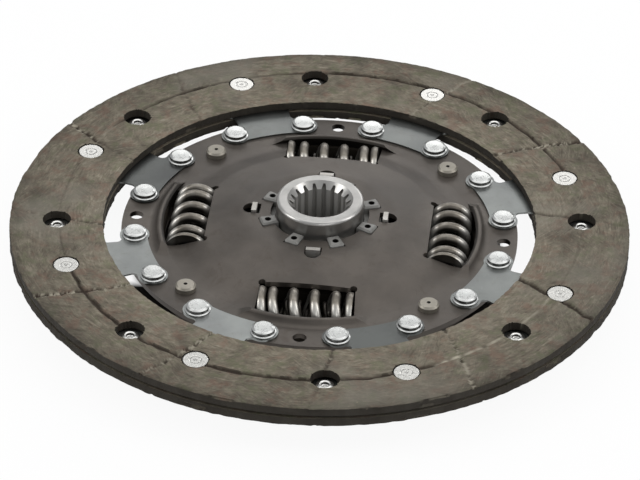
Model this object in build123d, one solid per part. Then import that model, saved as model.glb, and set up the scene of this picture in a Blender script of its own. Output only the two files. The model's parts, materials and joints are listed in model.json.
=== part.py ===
from build123d import *
import math
import os

# A dry clutch friction disc with a torsion damper, in millimetres.
# The disc's axis is +Z, the gearbox side faces up and the hub's lower end stands at height zero.
# Angles are counted anticlockwise from +X, seen from above.

# Clearances
running_gap = 0.3        # between pieces that turn against each other
seat_gap = 0.1           # between a rivet's shank and its hole
overcut = 1.0            # how far a cutting shape runs past the face it opens

# Friction linings
disc_r = 114.0
lining_bore_margin = 1.7     # from the paddles' inner edge inwards
lining_t = 3.3
radial_groove_count = 12
radial_groove_w = 1.5
radial_groove_lead = 5.5     # degrees that a groove's inner end leads its outer end
ring_groove_r = 97.5
ring_groove_w = 1.2
groove_depth = 0.9
access_hole_r = 5.2

# Lining rivets
lining_rivet_circle_r = 96.6
lining_rivet_count = 8
lining_rivet_top_angle = 19.0
lining_rivet_bottom_angle = 1.85
lining_head_r = 4.7
lining_head_t = 1.4
lining_head_recess = 0.35
lining_shank_r = 2.5
lining_tip_r = 3.4
lining_tip_h = 1.5
lining_tip_bore_r = 1.5
head_edge = 0.25             # small bevel round every rivet head

# Damper stack
damper_z = 10.0              # height of the damper's middle plane
plate_gap = 5.2              # clear space between the two cover plates
plate_t = 2.0
flange_t = 4.4
damper_angle = -5.25         # direction of the first spring window
window_count = 4

# Carrier plate
carrier_margin = 4.85        # from the segment rivets' circle to the rim
carrier_bore_r = 18.2
plateau_rise = 7.1           # height of the middle over the rim
plateau_flat_r = 27.0
plateau_edge_inset = 3.4     # from the springs' circle inwards
plateau_edge_drop = 3.6
plateau_foot_lead = 6.6      # from the springs' circle outwards
dish_bend_r = 20.0
index_hole_r = 2.5
index_hole_inset = 0.15      # from the segment rivets' circle inwards

# Retainer plate
retainer_margin = 1.1        # from the stop pins' heads to the rim
retainer_dish = 2.2          # depth of its sunken middle
retainer_dish_r = 35.0
retainer_dish_foot_r = 39.5
retainer_bend_r = 2.0

# Torsion springs
spring_count = window_count
spring_circle_r = 47.4
spring_lift = 1.4            # height of the springs' axis over the damper's middle plane
spring_wire_r = 1.8
spring_ring_r = 6.45         # radius of a working coil's wire centre
spring_end_step = 2.05       # advance of the half turn at each end
spring_closed_step = 2.05    # advance of a half turn in the coil that lies against the first end
spring_step = 3.8            # advance of a half turn in the working coils
spring_last_step = 2.6       # advance of a half turn in the coil next to the second end
spring_halves = 6
spring_ground = 2.95         # ground off each end
inner_wire_r = 0.8
inner_end_step = 0.9
inner_step = 2.3
inner_end_halves = 2
inner_halves = 12

# Spring windows
window_inner_play = 1.7      # by which the carrier plate reaches over the spring's inner side
window_outer_play = 3.1      # and to the foot of the lip
retainer_window_play = 1.9   # and on the retainer plate
window_relief_r = 1.3
window_flare = 1.0           # by which half a window is longer at its outer edge
lip_wall = 2.3               # from the window's outer edge to where the lip leaves the plate
lip_rise = 2.9               # height of the lip's crest over the plate
lip_lean = 1.9               # how far the crest leans towards the spring
lip_edge_run = 1.6           # the lip's cut edge, along the radius
lip_edge_drop = 1.3          # and down towards the spring
lip_foot_bend = 3.0          # radius where the lip leaves the plate
lip_crest_bend = 1.4
lip_taper = 6.0              # sloping end of the lip
lip_end_bend = 5.0
lip_root = 4.0               # flat of the plate that the lip's foot is drawn with

# Cushion segments
segment_count = 8
segment_lead = 22.6          # degrees from the first spring window to the first segment
segment_angle = damper_angle + segment_lead
segment_t = 0.7
cushion_travel = 0.5         # free spring height between the linings
segment_rivet_wall = 7.1     # from a spring window's lip to the segment rivets' circle
segment_rivet_spread = 11.35     # degrees from the base's middle to each rivet
lobe_r = 5.4
base_margin = 4.55           # from the segment rivets' circle to the base's inner edge
neck_half_angle = 7.9
neck_l = 13.05               # from the segment rivets' circle to the paddle
paddle_margin = 1.6          # from the paddle's edge to the lining's edge
paddle_split = 1.9           # degrees left free between neighbouring paddles
paddle_corner_r = 3.5
lobe_blend_r = 2.0
neck_flare_r = 3.0           # rounding from the neck into the paddle
neck_flare_angle = 4.0       # degrees that the rounding may take beside the neck

# Segment rivets
segment_head_r = 4.15
segment_head_side = 1.7
segment_head_dome = 0.5
segment_head_flat = 0.8      # share of the head inside its rounded shoulder
segment_head_flange = 0.5    # thin skirt round the head's foot
segment_head_flange_t = 0.5
segment_shank_r = 2.7
segment_tail_r = 3.9
segment_tail_h = 1.3

# Stop pins
pin_inset = 6.05             # from the segment rivets' circle inwards
pin_barrel_r = 4.3
pin_neck_r = 2.9
pin_head_r = 3.8
pin_head_h = 2.3
pin_head_edge = 0.7
pin_dimple_r = 0.7
pin_dimple_depth = 1.0
pin_angle = damper_angle + 180 / window_count     # half way between two spring windows
twist_limit = 8.0            # degrees each way

# Hub
hub_h = 28.1
hub_r = 16.1
hub_tail_r = 15.0
hub_top_round = 1.3
hub_tail_bevel = 0.8
hub_tooth_r = 18.9
hub_tooth_count = 12
hub_tooth_root_w = 5.2
hub_tooth_tip_w = 4.0
hub_collar_t = 1.0
spline_count = 18
spline_turn = 7.8            # degrees from the first spring window to a spline space
spline_minor_r = 9.6
spline_major_r = 11.25
spline_space_w = 2.3         # at the minor radius
spline_floor_w = 0.9         # at the major radius
spline_lead_r = 12.1
spline_lead_depth = 2.6

# Hub bush with its lugs
bush_r = 22.6
bush_t = 2.0
lug_count = 8
lug_inner_w = 4.4
lug_outer_w = 5.6
lug_proud = 0.9
lug_hole_r = 1.15
lug_hole_depth = 4.0
lug_hole_shift = 0.5         # from the lug's middle, outwards
lug_corner = 0.9             # rounding of a lug's outer corners
lug_edge = 0.6
lug_play = 0.2

# Support ring with its tabs
tab_gap = 0.75               # from the hub bush to a tab
tab_t = 1.8
tab_w = 5.2
tab_proud = 0.9
tab_hole_w = 6.2
tab_hole_play = 1.4
tab_hole_lead = 2.0          # from the tab's inner face to the middle of the hole's round end
support_r = 34.0
support_t = 1.6

# Friction rings and spring washer
friction_ring_t = 1.9
friction_ring_r = 33.0
friction_ring_bore_r = 19.5
washer_t = 0.7
washer_cone_h = 1.3
washer_play = 0.7            # between the tabs and the washer's bore
washer_inset = 10.5          # from the plateau's edge inwards
bush_collar_wall = 1.6
bush_collar_proud = 0.6

# Heights that follow from the stack
flange_low = damper_z - flange_t / 2
flange_high = damper_z + flange_t / 2
carrier_low = damper_z + plate_gap / 2
carrier_high = carrier_low + plate_t
retainer_high = damper_z - plate_gap / 2
retainer_low = retainer_high - plate_t
plateau_high = carrier_high + plateau_rise
plateau_low = plateau_high - plate_t
lining_top_low = carrier_high + segment_t
lining_top_high = lining_top_low + lining_t
lining_bottom_high = lining_top_low - segment_t - cushion_travel
lining_bottom_low = lining_bottom_high - lining_t
friction_ring_low = flange_high + running_gap
support_low = friction_ring_low + friction_ring_t

# Sizes that follow from the springs
spring_mean_r = math.sqrt(spring_ring_r**2 - (spring_step / 2) ** 2)
spring_r = spring_ring_r + spring_wire_r
spring_bore_r = spring_mean_r - spring_wire_r
spring_steps = (
    [spring_end_step]
    + [spring_closed_step] * 2
    + [spring_step] * spring_halves
    + [spring_last_step] * 2
    + [spring_end_step]
)
spring_length = sum(spring_steps) + 2 * spring_wire_r - 2 * spring_ground
spring_z = damper_z + spring_lift
window_half_l = spring_length / 2 + running_gap
window_inner_r = spring_circle_r - spring_r + window_inner_play
window_outer_r = spring_circle_r + spring_r + window_outer_play
retainer_window_r = spring_circle_r + spring_r + retainer_window_play
plateau_edge_r = spring_circle_r - plateau_edge_inset
plateau_foot_r = spring_circle_r + plateau_foot_lead
segment_rivet_circle_r = window_outer_r + lip_wall + segment_rivet_wall
base_inner_r = segment_rivet_circle_r - base_margin
carrier_r = segment_rivet_circle_r + carrier_margin
index_hole_circle_r = segment_rivet_circle_r - index_hole_inset
pin_circle_r = segment_rivet_circle_r - pin_inset
retainer_r = pin_circle_r + pin_head_r + retainer_margin
flange_r = segment_rivet_circle_r - segment_tail_r - 2 * running_gap
paddle_inner_r = segment_rivet_circle_r + neck_l
lining_bore_r = paddle_inner_r - lining_bore_margin
washer_r = plateau_edge_r - washer_inset
inner_ring_r = spring_bore_r - running_gap - inner_wire_r
inner_mean_r = math.sqrt(inner_ring_r**2 - (inner_step / 2) ** 2)
inner_steps = (
    [inner_end_step] * inner_end_halves
    + [inner_step] * inner_halves
    + [inner_end_step] * inner_end_halves
)
inner_length = sum(inner_steps) + inner_wire_r

# Sizes that follow from the hub bush
tab_inner_r = bush_r + tab_gap
tab_hole_reach = tab_inner_r + tab_hole_lead
washer_bore_r = tab_inner_r + tab_t + washer_play


def polar(radius, angle):
    """Point at a radius and an angle in degrees."""
    turn = math.radians(angle)
    return (radius * math.cos(turn), radius * math.sin(turn))


def around(shape, count, start, radius=0.0):
    """Copies of a shape, each pushed out by the radius and turned to its place round the axis."""
    step = 360 / count
    return [Rot(0, 0, start + k * step) * Pos(radius, 0, 0) * shape for k in range(count)]


def ring(inner_r, outer_r, low, high):
    """Flat ring between two radii and two heights."""
    return Pos(0, 0, low) * extrude(Circle(outer_r) - Circle(inner_r), high - low)


def disc(radius, low, high):
    """Round slab or round hole about the axis."""
    return Pos(0, 0, low) * extrude(Circle(radius), high - low)


def turned(*points):
    """Solid turned about the axis from a closed outline of (radius, height) points."""
    outline = make_face(Polyline(*points, close=True))
    return revolve(Plane.XZ * outline, Axis.Z)


def sector(inner_r, outer_r, half_angle):
    """Flat ring sector about +X, bounded by arcs and radial sides."""
    outer = ThreePointArc(polar(outer_r, -half_angle), (outer_r, 0), polar(outer_r, half_angle))
    inner = ThreePointArc(polar(inner_r, half_angle), (inner_r, 0), polar(inner_r, -half_angle))
    side_a = Line(polar(outer_r, half_angle), polar(inner_r, half_angle))
    side_b = Line(polar(inner_r, -half_angle), polar(outer_r, -half_angle))
    return make_face([outer, side_a, inner, side_b])


def trapezoid_along_x(near, far, near_w, far_w):
    """Flat trapezoid about +X, from one radius to another, with a width at each."""
    return make_face(
        Polyline(
            (near, -near_w / 2), (far, -far_w / 2), (far, far_w / 2), (near, near_w / 2), close=True
        )
    )


# Linings

def radial_groove(angle):
    """Straight cutter for one slanted groove in a friction face that lies at height zero."""
    outer = Vector(*polar(disc_r, angle))
    inner = Vector(*polar(lining_bore_r, angle + radial_groove_lead))
    run = outer - inner
    middle = (outer + inner) * 0.5
    heading = math.degrees(math.atan2(run.Y, run.X))
    cutter = Box(run.length + 2 * radial_groove_w, radial_groove_w, 2 * groove_depth)
    return Pos(middle.X, middle.Y, 0) * Rot(0, 0, heading) * cutter


def lining(seat_angle, access_angle):
    """Friction ring with its friction face up, at height zero, and its back below it."""
    body = ring(lining_bore_r, disc_r, -lining_t, 0)
    seat_depth = lining_head_recess + lining_head_t
    seat = disc(lining_head_r + seat_gap * 2, -seat_depth, overcut)
    seat += disc(lining_shank_r + seat_gap, -lining_t - overcut, 0)
    access = disc(access_hole_r, -lining_t - overcut, overcut)
    cuts = around(seat, lining_rivet_count, seat_angle, lining_rivet_circle_r)
    cuts += around(access, lining_rivet_count, access_angle, lining_rivet_circle_r)
    pitch = 360 / radial_groove_count
    cuts += [radial_groove(k * pitch) for k in range(radial_groove_count)]
    half_w = ring_groove_w / 2
    cuts.append(ring(ring_groove_r - half_w, ring_groove_r + half_w, -groove_depth, overcut))
    return body - cuts


def lining_rivet():
    """Semi-tubular rivet, head up, with the top of its head at height zero."""
    web = lining_t - lining_head_recess - lining_head_t
    tip_start = -(lining_head_t + web + segment_t)
    tip_end = tip_start - lining_tip_h
    return turned(
        (0, 0),
        (lining_head_r - head_edge, 0),
        (lining_head_r, -head_edge),
        (lining_head_r, -lining_head_t),
        (lining_shank_r, -lining_head_t),
        (lining_shank_r, tip_start),
        (lining_tip_r, tip_start),
        (lining_tip_r, tip_start - lining_tip_h / 2),
        (lining_tip_bore_r + 2 * head_edge, tip_end),
        (lining_tip_bore_r, tip_end + head_edge),
        (lining_tip_bore_r, tip_start - head_edge),
        (0, tip_start),
    )


# Cushion segments

def cushion_segment():
    """Wavy spring-steel segment, its base's middle on +X and its base standing on the carrier plate."""
    band = sector(base_inner_r, segment_rivet_circle_r, segment_rivet_spread)
    lobes = [Pos(*polar(segment_rivet_circle_r, side * segment_rivet_spread)) * Circle(lobe_r)
             for side in (-1, 1)]
    neck = sector(segment_rivet_circle_r, paddle_inner_r + lobe_blend_r, neck_half_angle)
    base = band + lobes + neck
    inner_corners = [v for v in base.vertices() if Vector(v).length < paddle_inner_r]
    base = fillet(inner_corners, lobe_blend_r)
    flare = neck + sector(paddle_inner_r, paddle_inner_r + lobe_blend_r, 2 * neck_half_angle)
    corners = [flare.vertices().sort_by_distance((*polar(paddle_inner_r, side * neck_half_angle), 0))[0]
               for side in (-1, 1)]
    flare = fillet(corners, neck_flare_r)
    base += flare & sector(segment_rivet_circle_r, disc_r, neck_half_angle + neck_flare_angle)
    base = Pos(0, 0, carrier_high) * extrude(base, segment_t)
    holes = [Pos(*polar(segment_rivet_circle_r, side * segment_rivet_spread))
             * disc(segment_shank_r + seat_gap, carrier_high - overcut, lining_top_low + overcut)
             for side in (-1, 1)]
    return base + paddle() - holes


def paddle():
    """The part of a segment between the linings: touches the top one at one rivet, the other at the next."""
    middle = (lining_rivet_top_angle + lining_rivet_bottom_angle) / 2
    half_angle = 180 / segment_count - paddle_split / 2
    plan = sector(paddle_inner_r, disc_r - paddle_margin, half_angle)
    plan = fillet(plan.vertices(), paddle_corner_r)
    half_spread = (lining_rivet_top_angle - lining_rivet_bottom_angle) / 2
    for side in (-1, 1):
        plan -= Pos(*polar(lining_rivet_circle_r, side * half_spread)) * Circle(lining_shank_r + seat_gap)
    blank = Pos(0, 0, lining_bottom_high - overcut) * extrude(plan, lining_t)
    rivet_y = lining_rivet_circle_r * math.sin(math.radians(half_spread))
    reach = disc_r * math.sin(math.radians(half_angle)) + overcut
    land = lining_tip_r + running_gap
    high = carrier_high
    low = lining_bottom_high
    crests = [
        (-reach, high),
        (-rivet_y - land, low),
        (-rivet_y + land, low),
        (-running_gap, high),
        (rivet_y + land, high),
        (reach, (high + low) / 2),
    ]
    upper = [(y, z + segment_t) for y, z in reversed(crests)]
    wave = make_face(Polyline(*crests, *upper, close=True))
    wave = extrude(Plane.YZ * wave, disc_r)
    return Rot(0, 0, middle - segment_angle) * (blank & wave)


def segment_rivet():
    """Rivet through a segment and the carrier plate, its shank's top at the segment's upper face."""
    top = lining_top_low
    crown = top + segment_head_side + segment_head_dome
    tail = carrier_low - segment_tail_h
    head = turned(
        (0, top), (segment_head_r + segment_head_flange, top),
        (segment_head_r + segment_head_flange, top + segment_head_flange_t / 2),
        (segment_head_r, top + segment_head_flange_t), (segment_head_r, top + segment_head_side),
        (segment_head_r * segment_head_flat, crown - segment_head_dome * (1 - segment_head_flat)), (0, crown),
    )
    shank = disc(segment_shank_r, carrier_low, top)
    foot = turned(
        (0, carrier_low), (segment_tail_r, carrier_low), (segment_tail_r, tail + head_edge * 2),
        (segment_tail_r - head_edge * 2, tail), (0, tail),
    )
    return head + shank + foot


# Cover plates

def window_plan(inner_r, outer_r):
    """Plan of a spring window about +X: straight inner edge, slightly flared ends, round outer edge."""
    outer_half_l = window_half_l + window_flare
    opening = trapezoid_along_x(inner_r, outer_r, 2 * window_half_l, 2 * outer_half_l)
    opening &= Circle(outer_r)
    for side in (-1, 1):
        corner = (inner_r, side * (window_half_l - window_relief_r / 2))
        opening += Pos(*corner) * Circle(window_relief_r)
    return opening


def lip_profile(outer_r):
    """Section of the lip beyond a window's outer radius, with the flat of the plate that it grows from."""
    bend_r = outer_r + lip_wall
    crest_r = bend_r - lip_lean
    profile = make_face(
        Polyline(
            (bend_r + lip_root, 0),
            (bend_r, 0),
            (crest_r, lip_rise),
            (crest_r - lip_edge_run, lip_rise - lip_edge_drop),
            (outer_r, -plate_t),
            (bend_r + lip_root, -plate_t),
            close=True,
        )
    )
    foot = profile.vertices().sort_by_distance((bend_r, 0, 0))[0]
    profile = fillet(foot, lip_foot_bend)
    crest = profile.vertices().sort_by_distance((crest_r, lip_rise, 0))[0]
    return fillet(crest, lip_crest_bend)


def window_lip(outer_r):
    """Raised outer lip of a window on +X, for a plate whose outer face lies at height zero."""
    bend_r = outer_r + lip_wall
    foot_l = window_half_l + lip_taper
    end_l = foot_l + lip_root
    half_angle = math.degrees(math.asin(end_l / bend_r))
    band = Rot(0, 0, -half_angle) * revolve(Plane.XZ * lip_profile(outer_r), Axis.Z, 2 * half_angle)
    slope = make_face(
        Polyline(
            (-end_l, -plate_t), (-end_l, 0), (-foot_l, 0), (-window_half_l, lip_rise),
            (window_half_l, lip_rise), (foot_l, 0), (end_l, 0), (end_l, -plate_t), close=True,
        )
    )
    bends = [slope.vertices().sort_by_distance((y, z, 0))[0]
             for y, z in ((-foot_l, 0), (-window_half_l, lip_rise), (window_half_l, lip_rise), (foot_l, 0))]
    slope = fillet(bends, lip_end_bend)
    return band & extrude(Plane.YZ * slope, bend_r + lip_root)


def dished_plate(path, bend_r):
    """Pressed plate turned from its upper face's (radius, height) path, with rounded bends."""
    lower = [(r, z - plate_t) for r, z in path]
    upper_edge = FilletPolyline(*path, radius=bend_r)
    lower_edge = FilletPolyline(*lower, radius=bend_r)
    rim = Line(path[-1], lower[-1])
    bore = Line(lower[0], path[0])
    return revolve(Plane.XZ * make_face([upper_edge, rim, lower_edge, bore]), Axis.Z)


def tab_hole():
    """Plan of the D-shaped hole round one tab of the support ring, on +X."""
    inner = tab_inner_r - tab_hole_play
    depth = tab_hole_reach - inner
    hole = Pos(inner + depth / 2, 0) * Rectangle(depth, tab_hole_w)
    return hole + Pos(tab_hole_reach, 0) * Circle(tab_hole_w / 2)


def lug_plan(play):
    """Plan of one lug of the hub bush on +X, or of its notch in the plate when it has play."""
    return trapezoid_along_x(
        hub_r + running_gap - play, bush_r + play, lug_inner_w + 2 * play, lug_outer_w + 2 * play
    )


def carrier_plate():
    """Dished cover plate on the gearbox side, which carries the segments."""
    plate = dished_plate(
        [
            (carrier_bore_r, plateau_high),
            (plateau_flat_r, plateau_high),
            (plateau_edge_r, plateau_high - plateau_edge_drop),
            (plateau_foot_r, carrier_high),
            (carrier_r, carrier_high),
        ],
        dish_bend_r,
    )
    low = carrier_low - overcut
    depth = plateau_high - low + overcut
    window = Pos(0, 0, low) * extrude(window_plan(window_inner_r, window_outer_r), depth)
    plate -= around(window, window_count, damper_angle)
    plate += around(Pos(0, 0, carrier_high) * window_lip(window_outer_r), window_count, damper_angle)
    tab = Pos(0, 0, low) * extrude(tab_hole(), depth)
    notch = Pos(0, 0, low) * extrude(lug_plan(lug_play), depth)
    cuts = around(tab, window_count, damper_angle)
    cuts += around(notch, lug_count, segment_angle)
    cuts += around(disc(index_hole_r, low, low + depth), window_count, damper_angle, index_hole_circle_r)
    cuts += around(disc(pin_neck_r + seat_gap, low, low + depth), window_count, pin_angle, pin_circle_r)
    rivet_hole = disc(segment_shank_r + seat_gap, low, low + depth)
    for side in (-1, 1):
        start = segment_angle + side * segment_rivet_spread
        cuts += around(rivet_hole, segment_count, start, segment_rivet_circle_r)
    return plate - cuts


def retainer_plate():
    """Cover plate on the flywheel side, with its middle sunk away from the damper."""
    bore_r = hub_tail_r + running_gap + bush_collar_wall + running_gap
    plate = dished_plate(
        [
            (bore_r, retainer_high - retainer_dish),
            (retainer_dish_r, retainer_high - retainer_dish),
            (retainer_dish_foot_r, retainer_high),
            (retainer_r, retainer_high),
        ],
        retainer_bend_r,
    )
    low = retainer_low - retainer_dish - overcut
    depth = retainer_high + overcut - low
    window_side_r = spring_circle_r - spring_r - running_gap
    window = Pos(0, 0, low) * extrude(window_plan(window_side_r, retainer_window_r), depth)
    lip = Pos(0, 0, retainer_low) * mirror(window_lip(retainer_window_r), Plane.XY)
    plate -= around(window, window_count, damper_angle)
    plate += around(lip, window_count, damper_angle)
    pin_hole = disc(pin_neck_r + seat_gap, low, low + depth)
    return plate - around(pin_hole, window_count, pin_angle, pin_circle_r)


def stop_pin():
    """Shouldered pin that spaces the cover plates and is riveted over on both of them."""
    half = plate_gap / 2
    neck = half + plate_t
    end = neck + pin_head_h
    side = [
        (pin_barrel_r, 0), (pin_barrel_r, half), (pin_neck_r, half), (pin_neck_r, neck), (pin_head_r, neck),
        (pin_head_r, end - pin_head_edge), (pin_head_r - pin_head_edge, end), (pin_dimple_r, end),
        (0, end - pin_dimple_depth),
    ]
    lower = [(r, -z) for r, z in reversed(side[1:])]
    return Pos(0, 0, damper_z) * turned(*side, *lower)


# Hub and its flange

def hub_teeth(play):
    """Plan of the hub's outer teeth, or of the flange's hole when it has play."""
    plan = Circle(hub_r + play)
    tooth = trapezoid_along_x(
        hub_tail_r, hub_tooth_r + play, hub_tooth_root_w + 2 * play, hub_tooth_tip_w + 2 * play
    )
    for copy in around(tooth, hub_tooth_count, 0):
        plan += copy
    return plan


def hub():
    """Turned hub with outer teeth for its flange and a splined bore."""
    top = hub_h
    body = turned(
        (0, 0),
        (hub_tail_r - hub_tail_bevel, 0),
        (hub_tail_r, hub_tail_bevel),
        (hub_tail_r, flange_low),
        (hub_r, flange_low),
        (hub_r, flange_high),
        (hub_tooth_r, flange_high),
        (hub_tooth_r, flange_high + hub_collar_t),
        (hub_r, flange_high + hub_collar_t),
        (hub_r, top),
        (0, top),
    )
    body = fillet(body.edges().sort_by(Axis.Z)[-1], hub_top_round)
    body += Pos(0, 0, flange_low) * extrude(hub_teeth(0), flange_t)
    bore = Circle(spline_minor_r)
    space = trapezoid_along_x(spline_minor_r - overcut, spline_major_r, spline_space_w, spline_floor_w)
    for copy in around(space, spline_count, damper_angle + spline_turn):
        bore += copy
    body -= Pos(0, 0, -overcut) * extrude(bore, top + 2 * overcut)
    lead = turned(
        (0, -overcut),
        (spline_lead_r, -overcut),
        (spline_lead_r, 0),
        (spline_lead_r - spline_lead_depth, spline_lead_depth),
        (0, spline_lead_depth),
    )
    return body - lead - Pos(0, 0, top) * mirror(lead, Plane.XY)


def hub_flange():
    """Flange plate on the hub's teeth, with spring windows and cut-outs for the stop pins."""
    plan = Circle(flange_r) - hub_teeth(seat_gap)
    half_w = spring_r + running_gap
    window = Pos(spring_circle_r, 0) * Rectangle(2 * half_w, 2 * window_half_l)
    for corner_x in (-half_w, half_w):
        for side in (-1, 1):
            window += Pos(spring_circle_r + corner_x, side * window_half_l) * Circle(window_relief_r / 2)
    pin_half_angle = math.degrees(math.asin((pin_barrel_r + running_gap) / pin_circle_r))
    notch_floor_r = pin_circle_r - pin_barrel_r - running_gap
    notch = sector(notch_floor_r, flange_r + overcut, twist_limit + pin_half_angle)
    for copy in around(window, window_count, damper_angle) + around(notch, window_count, pin_angle):
        plan -= copy
    return Pos(0, 0, flange_low) * extrude(plan, flange_t)


# Friction pack

def hub_bush():
    """Bush round the hub under the carrier plate, with lugs that stand up in the plate's notches."""
    inner_r = hub_r + running_gap
    seat_z = plateau_low - seat_gap
    body = ring(inner_r, bush_r, seat_z - bush_t, seat_z)
    lug_top = plateau_high + lug_proud
    plan = lug_plan(0)
    plan = fillet(plan.vertices().sort_by(Axis.X)[-2:], lug_corner)
    lug = Pos(0, 0, seat_z - bush_t) * extrude(plan, lug_top - seat_z + bush_t)
    lug = chamfer(lug.faces().sort_by(Axis.Z)[-1].edges(), lug_edge)
    hole_r = (hub_r + bush_r) / 2 + lug_hole_shift
    lug -= Pos(hole_r, 0, 0) * disc(lug_hole_r, lug_top - lug_hole_depth, lug_top + overcut)
    for copy in around(lug, lug_count, segment_angle):
        body += copy
    return body - disc(inner_r, 0, hub_h)


def support_ring():
    """Steel ring whose bent tabs stand up through the carrier plate and keep it from turning."""
    ring_top = support_low + support_t
    body = ring(tab_inner_r, support_r, support_low, ring_top)
    tab_top = plateau_high + tab_proud
    tab_h = tab_top - support_low
    tab = Pos(tab_inner_r + tab_t / 2, 0, support_low + tab_h / 2) * Box(tab_t, tab_w, tab_h)
    clip = disc(support_r, support_low, tab_top) - disc(tab_inner_r, support_low, tab_top)
    for copy in around(tab & clip, window_count, damper_angle):
        body += copy
    return body


def spring_washer():
    """Conical washer between the support ring and the carrier plate."""
    low = support_low + support_t + seat_gap
    high = low + washer_cone_h
    return turned(
        (washer_bore_r, low), (washer_r, high), (washer_r, high + washer_t), (washer_bore_r, low + washer_t)
    )


def friction_ring_top():
    """Friction ring between the flange and the support ring."""
    return ring(friction_ring_bore_r, friction_ring_r, friction_ring_low, support_low)


def friction_ring_bottom():
    """Friction ring on the flywheel side, with a collar that centres the hub in the retainer plate."""
    inner_r = hub_tail_r + running_gap
    seat_z = retainer_high - retainer_dish
    body = ring(inner_r, friction_ring_r, seat_z, flange_low - running_gap)
    collar_low = seat_z - plate_t - bush_collar_proud
    return body + ring(inner_r, inner_r + bush_collar_wall, collar_low, seat_z)


# Springs

def coil(mean_r, wire_r, steps):
    """Coil along X made of half rings, one side and the other in turn, with both wire ends underneath."""
    x = -sum(steps) / 2
    side = -1
    halves = []
    for step in steps:
        start = Vector(x, 0, side * mean_r)
        end = Vector(x + step, 0, -side * mean_r)
        middle = (start + end) * 0.5
        axis = (end - start).cross(Vector(0, side, 0))
        section = Plane(origin=start, z_dir=(0, 1, 0)) * Circle(wire_r)
        halves.append(revolve(section, Axis(middle, axis), 180))
        x += step
        side = -side
    body = halves[0]
    for half in halves[1:]:
        body += half
    return body


def ground_coil(mean_r, wire_r, steps, length):
    """Coil with its two ends ground flat to a length."""
    size = 4 * (mean_r + wire_r)
    return coil(mean_r, wire_r, steps) & Box(length, size, size)


def in_windows(spring):
    """A spring made along X, set across each window in turn."""
    placed = Pos(spring_circle_r, 0, spring_z) * Rot(0, 0, 90) * spring
    return around(placed, spring_count, damper_angle)


# Writing the pieces

def group(shapes):
    """Separate solids kept together as one piece of the list."""
    return Compound(children=[part for shape in shapes for part in shape.solids()])


def all_parts():
    """Every piece by its name."""
    parts = {}
    seat, access = lining_rivet_top_angle, lining_rivet_bottom_angle
    parts["lining_top"] = Pos(0, 0, lining_top_high) * lining(seat, access)
    parts["lining_bottom"] = Pos(0, 0, lining_bottom_low) * Rot(180, 0, 0) * lining(-access, -seat)
    segment = cushion_segment()
    for number, copy in enumerate(around(segment, segment_count, segment_angle), 1):
        parts[f"cushion_segment_{number}"] = copy
    head_top = lining_top_high - lining_head_recess
    upper = Pos(0, 0, head_top) * lining_rivet()
    parts["lining_rivets_top"] = group(around(upper, lining_rivet_count, seat, lining_rivet_circle_r))
    head_bottom = lining_bottom_low + lining_head_recess
    lower = Pos(0, 0, head_bottom) * Rot(180, 0, 0) * lining_rivet()
    parts["lining_rivets_bottom"] = group(around(lower, lining_rivet_count, access, lining_rivet_circle_r))
    rivets = []
    for side in (-1, 1):
        start = segment_angle + side * segment_rivet_spread
        rivets += around(segment_rivet(), segment_count, start, segment_rivet_circle_r)
    parts["segment_rivets"] = group(rivets)
    parts["carrier_plate"] = carrier_plate()
    parts["retainer_plate"] = retainer_plate()
    parts["stop_pins"] = group(around(stop_pin(), window_count, pin_angle, pin_circle_r))
    outer = ground_coil(spring_mean_r, spring_wire_r, spring_steps, spring_length)
    inner = ground_coil(inner_mean_r, inner_wire_r, inner_steps, inner_length)
    for number, copy in enumerate(in_windows(outer), 1):
        parts[f"torsion_spring_{number}"] = copy
    for number, copy in enumerate(in_windows(inner), 1):
        parts[f"inner_spring_{number}"] = copy
    parts["hub"] = hub()
    parts["hub_flange"] = hub_flange()
    parts["hub_bush"] = hub_bush()
    parts["support_ring"] = support_ring()
    parts["spring_washer"] = spring_washer()
    parts["friction_ring_top"] = friction_ring_top()
    parts["friction_ring_bottom"] = friction_ring_bottom()
    return parts


os.makedirs("parts", exist_ok=True)
for name, shape in all_parts().items():
    export_step(shape, f"parts/{name}.step")
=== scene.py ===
"""Dresses the clutch disc: materials, worn linings, copies of the springs, floor, lights and camera."""
import json
import math

import bpy
import numpy as np
from mathutils import Matrix, Vector, geometry, noise


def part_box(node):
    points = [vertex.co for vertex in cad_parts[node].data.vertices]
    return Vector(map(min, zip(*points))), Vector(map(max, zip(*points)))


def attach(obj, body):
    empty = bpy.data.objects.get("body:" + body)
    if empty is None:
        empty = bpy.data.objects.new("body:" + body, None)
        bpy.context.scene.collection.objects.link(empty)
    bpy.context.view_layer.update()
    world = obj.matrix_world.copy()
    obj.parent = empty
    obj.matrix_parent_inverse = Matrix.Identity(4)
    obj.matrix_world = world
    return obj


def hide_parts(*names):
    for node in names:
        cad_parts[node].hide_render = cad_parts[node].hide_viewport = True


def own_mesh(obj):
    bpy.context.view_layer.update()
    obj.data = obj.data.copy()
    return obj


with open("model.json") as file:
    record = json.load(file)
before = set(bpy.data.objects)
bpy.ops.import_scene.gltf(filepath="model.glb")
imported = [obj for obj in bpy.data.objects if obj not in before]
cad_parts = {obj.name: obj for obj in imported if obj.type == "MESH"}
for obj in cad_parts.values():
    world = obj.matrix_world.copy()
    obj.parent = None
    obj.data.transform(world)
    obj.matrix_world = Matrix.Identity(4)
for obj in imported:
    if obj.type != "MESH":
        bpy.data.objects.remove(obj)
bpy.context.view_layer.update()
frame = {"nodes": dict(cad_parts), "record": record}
nodes = frame["nodes"]
slots = {part["node"]: part["material_slot"] for part in frame["record"]["subparts"]}

MM = 0.001
WHITE = (1.0, 1.0, 1.0)

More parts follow.
